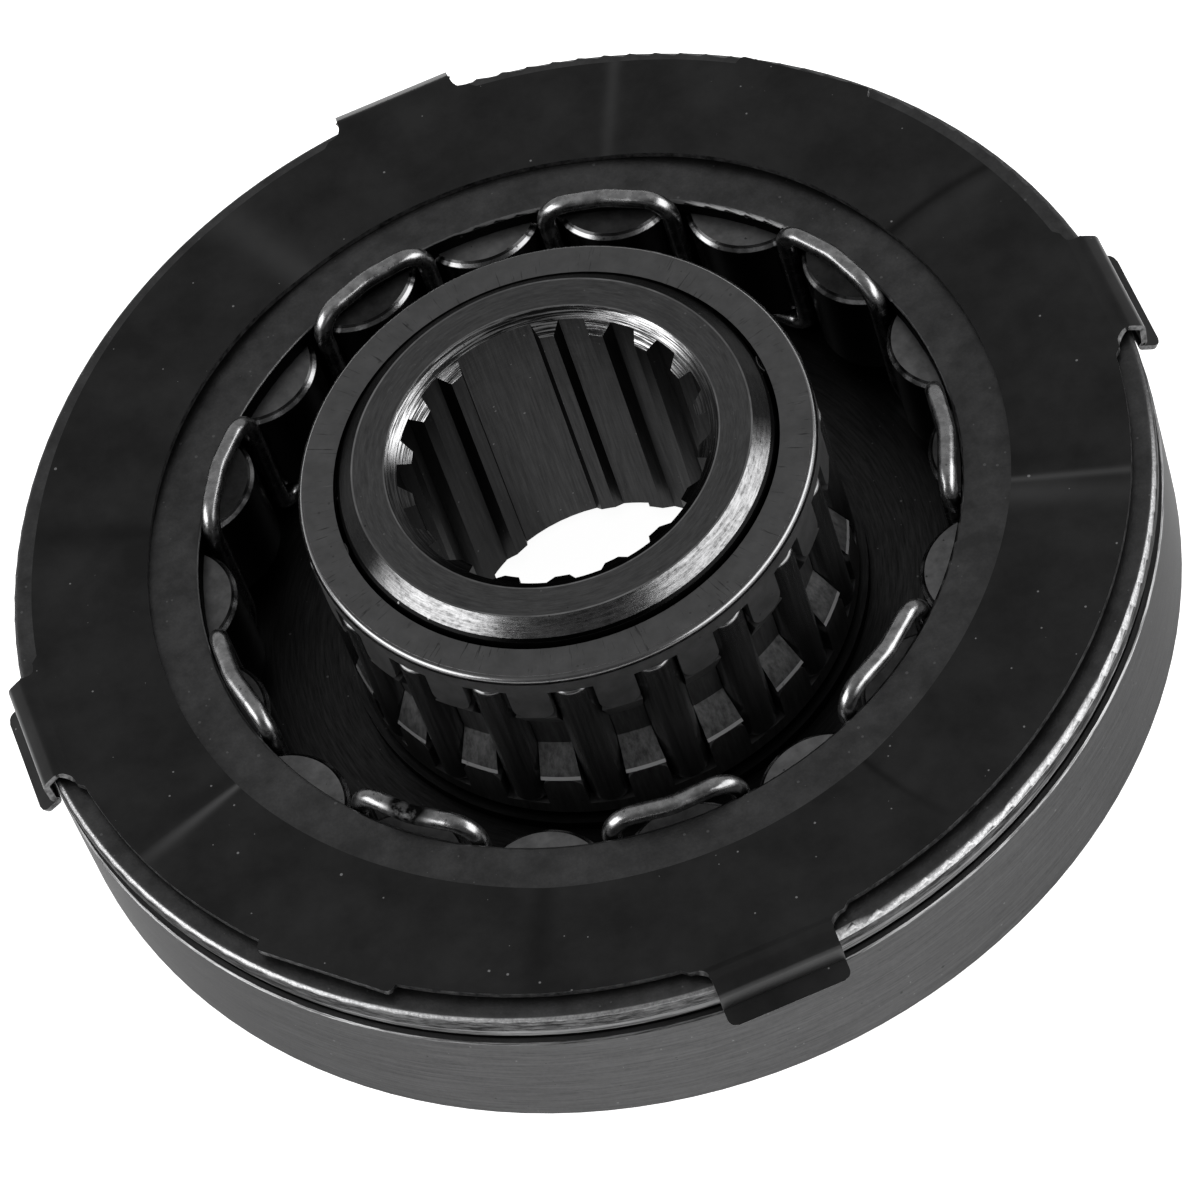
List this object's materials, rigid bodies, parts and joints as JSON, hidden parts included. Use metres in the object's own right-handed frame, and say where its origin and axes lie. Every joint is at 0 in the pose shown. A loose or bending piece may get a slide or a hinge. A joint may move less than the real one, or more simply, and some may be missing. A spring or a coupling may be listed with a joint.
{
  "type": "roller clutch",
  "caption": "One-way roller clutch with splined hub, needle bearing for the driven gear, zigzag roller spring and clip-on cover.",
  "frame": {"origin": "centre of the hub's rear face, the lowest face of the part", "axes": "+Z along the clutch axis towards the open side with the cover; -Y towards the side that the usual view shows"},
  "size_m": [0.0968, 0.0968, 0.0276],
  "materials": {
    "ground_steel": "ground and turned",
    "cam_steel": "rough turned, hardened",
    "washer_steel": "tumbled, grey",
    "black_spring_steel": "black oxide",
    "spring_wire": "bright drawn wire",
    "roller_steel": "hardened, matte end faces",
    "cage_steel": "machined steel, oiled",
    "needle_steel": "polished"
  },
  "bodies": {
    "housing": {"splined_hub_housing": "ground_steel", "cam_ring": "cam_steel", "retaining_washer": "washer_steel", "spring_cover": "black_spring_steel", "roller_spring": "spring_wire"},
    "cage": {"needle_cage": "cage_steel"},
    "roller_01": {"roller_01": "roller_steel"},
    "roller_02": {"roller_02": "roller_steel"},
    "roller_03": {"roller_03": "roller_steel"},
    "roller_04": {"roller_04": "roller_steel"},
    "roller_05": {"roller_05": "roller_steel"},
    "roller_06": {"roller_06": "roller_steel"},
    "roller_07": {"roller_07": "roller_steel"},
    "roller_08": {"roller_08": "roller_steel"},
    "roller_09": {"roller_09": "roller_steel"},
    "roller_10": {"roller_10": "roller_steel"},
    "roller_11": {"roller_11": "roller_steel"},
    "roller_12": {"roller_12": "roller_steel"},
    "roller_13": {"roller_13": "roller_steel"},
    "roller_14": {"roller_14": "roller_steel"},
    "roller_15": {"roller_15": "roller_steel"},
    "roller_16": {"roller_16": "roller_steel"},
    "roller_17": {"roller_17": "roller_steel"},
    "roller_18": {"roller_18": "roller_steel"},
    "needle_01": {"needle_01": "needle_steel"},
    "needle_02": {"needle_02": "needle_steel"},
    "needle_03": {"needle_03": "needle_steel"},
    "needle_04": {"needle_04": "needle_steel"},
    "needle_05": {"needle_05": "needle_steel"},
    "needle_06": {"needle_06": "needle_steel"},
    "needle_07": {"needle_07": "needle_steel"},
    "needle_08": {"needle_08": "needle_steel"},
    "needle_09": {"needle_09": "needle_steel"},
    "needle_10": {"needle_10": "needle_steel"},
    "needle_11": {"needle_11": "needle_steel"},
    "needle_12": {"needle_12": "needle_steel"},
    "needle_13": {"needle_13": "needle_steel"},
    "needle_14": {"needle_14": "needle_steel"},
    "needle_15": {"needle_15": "needle_steel"},
    "needle_16": {"needle_16": "needle_steel"},
    "needle_17": {"needle_17": "needle_steel"},
    "needle_18": {"needle_18": "needle_steel"},
    "needle_19": {"needle_19": "needle_steel"}
  },
  "joints": [
    {"name": "cage_spin", "type": "hinge", "parent": "housing", "child": "cage", "pos_m": [0, 0, 0.016], "axis": [0, 0, 1], "continuous": true},
    {"name": "roller_01_wedge", "type": "slide", "parent": "housing", "child": "roller_01", "axis": [-0.2639, 0.9646, 0], "range_m": [-0.00035, 0.00025], "stiffness_N_per_m": 400},
    {"name": "roller_02_wedge", "type": "slide", "parent": "housing", "child": "roller_02", "axis": [-0.5779, 0.8161, 0], "range_m": [-0.00035, 0.00025], "stiffness_N_per_m": 400},
    {"name": "roller_03_wedge", "type": "slide", "parent": "housing", "child": "roller_03", "axis": [-0.8221, 0.5693, 0], "range_m": [-0.00035, 0.00025], "stiffness_N_per_m": 400},
    {"name": "roller_04_wedge", "type": "slide", "parent": "housing", "child": "roller_04", "axis": [-0.9673, 0.2538, 0], "range_m": [-0.00035, 0.00025], "stiffness_N_per_m": 400},
    {"name": "roller_05_wedge", "type": "slide", "parent": "housing", "child": "roller_05", "axis": [-0.9957, -0.0924, 0], "range_m": [-0.00035, 0.00025], "stiffness_N_per_m": 400},
    {"name": "roller_06_wedge", "type": "slide", "parent": "housing", "child": "roller_06", "axis": [-0.9041, -0.4274, 0], "range_m": [-0.00035, 0.00025], "stiffness_N_per_m": 400},
    {"name": "roller_07_wedge", "type": "slide", "parent": "housing", "child": "roller_07", "axis": [-0.7034, -0.7108, 0], "range_m": [-0.00035, 0.00025], "stiffness_N_per_m": 400},
    {"name": "roller_08_wedge", "type": "slide", "parent": "housing", "child": "roller_08", "axis": [-0.4179, -0.9085, 0], "range_m": [-0.00035, 0.00025], "stiffness_N_per_m": 400},
    {"name": "roller_09_wedge", "type": "slide", "parent": "housing", "child": "roller_09", "axis": [-0.0819, -0.9966, 0], "range_m": [-0.00035, 0.00025], "stiffness_N_per_m": 400},
    {"name": "roller_10_wedge", "type": "slide", "parent": "housing", "child": "roller_10", "axis": [0.2639, -0.9646, 0], "range_m": [-0.00035, 0.00025], "stiffness_N_per_m": 400},
    {"name": "roller_11_wedge", "type": "slide", "parent": "housing", "child": "roller_11", "axis": [0.5779, -0.8161, 0], "range_m": [-0.00035, 0.00025], "stiffness_N_per_m": 400},
    {"name": "roller_12_wedge", "type": "slide", "parent": "housing", "child": "roller_12", "axis": [0.8221, -0.5693, 0], "range_m": [-0.00035, 0.00025], "stiffness_N_per_m": 400},
    {"name": "roller_13_wedge", "type": "slide", "parent": "housing", "child": "roller_13", "axis": [0.9673, -0.2538, 0], "range_m": [-0.00035, 0.00025], "stiffness_N_per_m": 400},
    {"name": "roller_14_wedge", "type": "slide", "parent": "housing", "child": "roller_14", "axis": [0.9957, 0.0924, 0], "range_m": [-0.00035, 0.00025], "stiffness_N_per_m": 400},
    {"name": "roller_15_wedge", "type": "slide", "parent": "housing", "child": "roller_15", "axis": [0.9041, 0.4274, 0], "range_m": [-0.00035, 0.00025], "stiffness_N_per_m": 400},
    {"name": "roller_16_wedge", "type": "slide", "parent": "housing", "child": "roller_16", "axis": [0.7034, 0.7108, 0], "range_m": [-0.00035, 0.00025], "stiffness_N_per_m": 400},
    {"name": "roller_17_wedge", "type": "slide", "parent": "housing", "child": "roller_17", "axis": [0.4179, 0.9085, 0], "range_m": [-0.00035, 0.00025], "stiffness_N_per_m": 400},
    {"name": "roller_18_wedge", "type": "slide", "parent": "housing", "child": "roller_18", "axis": [0.0819, 0.9966, 0], "range_m": [-0.00035, 0.00025], "stiffness_N_per_m": 400},
    {"name": "needle_01_spin", "type": "hinge", "parent": "cage", "child": "needle_01", "pos_m": [0.00151, -0.0192, 0.016], "axis": [0, 0, 1], "continuous": true},
    {"name": "needle_02_spin", "type": "hinge", "parent": "cage", "child": "needle_02", "pos_m": [0.00766, -0.01767, 0.016], "axis": [0, 0, 1], "continuous": true},
    {"name": "needle_03_spin", "type": "hinge", "parent": "cage", "child": "needle_03", "pos_m": [0.01299, -0.01422, 0.016], "axis": [0, 0, 1], "continuous": true},
    {"name": "needle_04_spin", "type": "hinge", "parent": "cage", "child": "needle_04", "pos_m": [0.0169, -0.00924, 0.016], "axis": [0, 0, 1], "continuous": true},
    {"name": "needle_05_spin", "type": "hinge", "parent": "cage", "child": "needle_05", "pos_m": [0.01898, -0.00325, 0.016], "axis": [0, 0, 1], "continuous": true},
    {"name": "needle_06_spin", "type": "hinge", "parent": "cage", "child": "needle_06", "pos_m": [0.01901, 0.00309, 0.016], "axis": [0, 0, 1], "continuous": true},
    {"name": "needle_07_spin", "type": "hinge", "parent": "cage", "child": "needle_07", "pos_m": [0.01698, 0.0091, 0.016], "axis": [0, 0, 1], "continuous": true},
    {"name": "needle_08_spin", "type": "hinge", "parent": "cage", "child": "needle_08", "pos_m": [0.0131, 0.01412, 0.016], "axis": [0, 0, 1], "continuous": true},
    {"name": "needle_09_spin", "type": "hinge", "parent": "cage", "child": "needle_09", "pos_m": [0.00781, 0.01761, 0.016], "axis": [0, 0, 1], "continuous": true},
    {"name": "needle_10_spin", "type": "hinge", "parent": "cage", "child": "needle_10", "pos_m": [0.00167, 0.01919, 0.016], "axis": [0, 0, 1], "continuous": true},
    {"name": "needle_11_spin", "type": "hinge", "parent": "cage", "child": "needle_11", "pos_m": [-0.00465, 0.01869, 0.016], "axis": [0, 0, 1], "continuous": true},
    {"name": "needle_12_spin", "type": "hinge", "parent": "cage", "child": "needle_12", "pos_m": [-0.01047, 0.01617, 0.016], "axis": [0, 0, 1], "continuous": true},
    {"name": "needle_13_spin", "type": "hinge", "parent": "cage", "child": "needle_13", "pos_m": [-0.01515, 0.01189, 0.016], "axis": [0, 0, 1], "continuous": true},
    {"name": "needle_14_spin", "type": "hinge", "parent": "cage", "child": "needle_14", "pos_m": [-0.01819, 0.00633, 0.016], "axis": [0, 0, 1], "continuous": true},
    {"name": "needle_15_spin", "type": "hinge", "parent": "cage", "child": "needle_15", "pos_m": [-0.01926, 0.00008, 0.016], "axis": [0, 0, 1], "continuous": true},
    {"name": "needle_16_spin", "type": "hinge", "parent": "cage", "child": "needle_16", "pos_m": [-0.01824, -0.00618, 0.016], "axis": [0, 0, 1], "continuous": true},
    {"name": "needle_17_spin", "type": "hinge", "parent": "cage", "child": "needle_17", "pos_m": [-0.01525, -0.01177, 0.016], "axis": [0, 0, 1], "continuous": true},
    {"name": "needle_18_spin", "type": "hinge", "parent": "cage", "child": "needle_18", "pos_m": [-0.0106, -0.01608, 0.016], "axis": [0, 0, 1], "continuous": true},
    {"name": "needle_19_spin", "type": "hinge", "parent": "cage", "child": "needle_19", "pos_m": [-0.00481, -0.01865, 0.016], "axis": [0, 0, 1], "continuous": true}
  ],
  "couplings": [
    {"joint": "roller_02_wedge", "follows": "roller_01_wedge", "ratio": 1},
    {"joint": "roller_03_wedge", "follows": "roller_01_wedge", "ratio": 1},
    {"joint": "roller_04_wedge", "follows": "roller_01_wedge", "ratio": 1},
    {"joint": "roller_05_wedge", "follows": "roller_01_wedge", "ratio": 1},
    {"joint": "roller_06_wedge", "follows": "roller_01_wedge", "ratio": 1},
    {"joint": "roller_07_wedge", "follows": "roller_01_wedge", "ratio": 1},
    {"joint": "roller_08_wedge", "follows": "roller_01_wedge", "ratio": 1},
    {"joint": "roller_09_wedge", "follows": "roller_01_wedge", "ratio": 1},
    {"joint": "roller_10_wedge", "follows": "roller_01_wedge", "ratio": 1},
    {"joint": "roller_11_wedge", "follows": "roller_01_wedge", "ratio": 1},
    {"joint": "roller_12_wedge", "follows": "roller_01_wedge", "ratio": 1},
    {"joint": "roller_13_wedge", "follows": "roller_01_wedge", "ratio": 1},
    {"joint": "roller_14_wedge", "follows": "roller_01_wedge", "ratio": 1},
    {"joint": "roller_15_wedge", "follows": "roller_01_wedge", "ratio": 1},
    {"joint": "roller_16_wedge", "follows": "roller_01_wedge", "ratio": 1},
    {"joint": "roller_17_wedge", "follows": "roller_01_wedge", "ratio": 1},
    {"joint": "roller_18_wedge", "follows": "roller_01_wedge", "ratio": 1},
    {"joint": "needle_01_spin", "follows": "cage_spin", "ratio": 10},
    {"joint": "needle_02_spin", "follows": "cage_spin", "ratio": 10},
    {"joint": "needle_03_spin", "follows": "cage_spin", "ratio": 10},
    {"joint": "needle_04_spin", "follows": "cage_spin", "ratio": 10},
    {"joint": "needle_05_spin", "follows": "cage_spin", "ratio": 10},
    {"joint": "needle_06_spin", "follows": "cage_spin", "ratio": 10},
    {"joint": "needle_07_spin", "follows": "cage_spin", "ratio": 10},
    {"joint": "needle_08_spin", "follows": "cage_spin", "ratio": 10},
    {"joint": "needle_09_spin", "follows": "cage_spin", "ratio": 10},
    {"joint": "needle_10_spin", "follows": "cage_spin", "ratio": 10},
    {"joint": "needle_11_spin", "follows": "cage_spin", "ratio": 10},
    {"joint": "needle_12_spin", "follows": "cage_spin", "ratio": 10},
    {"joint": "needle_13_spin", "follows": "cage_spin", "ratio": 10},
    {"joint": "needle_14_spin", "follows": "cage_spin", "ratio": 10},
    {"joint": "needle_15_spin", "follows": "cage_spin", "ratio": 10},
    {"joint": "needle_16_spin", "follows": "cage_spin", "ratio": 10},
    {"joint": "needle_17_spin", "follows": "cage_spin", "ratio": 10},
    {"joint": "needle_18_spin", "follows": "cage_spin", "ratio": 10},
    {"joint": "needle_19_spin", "follows": "cage_spin", "ratio": 10}
  ]
}
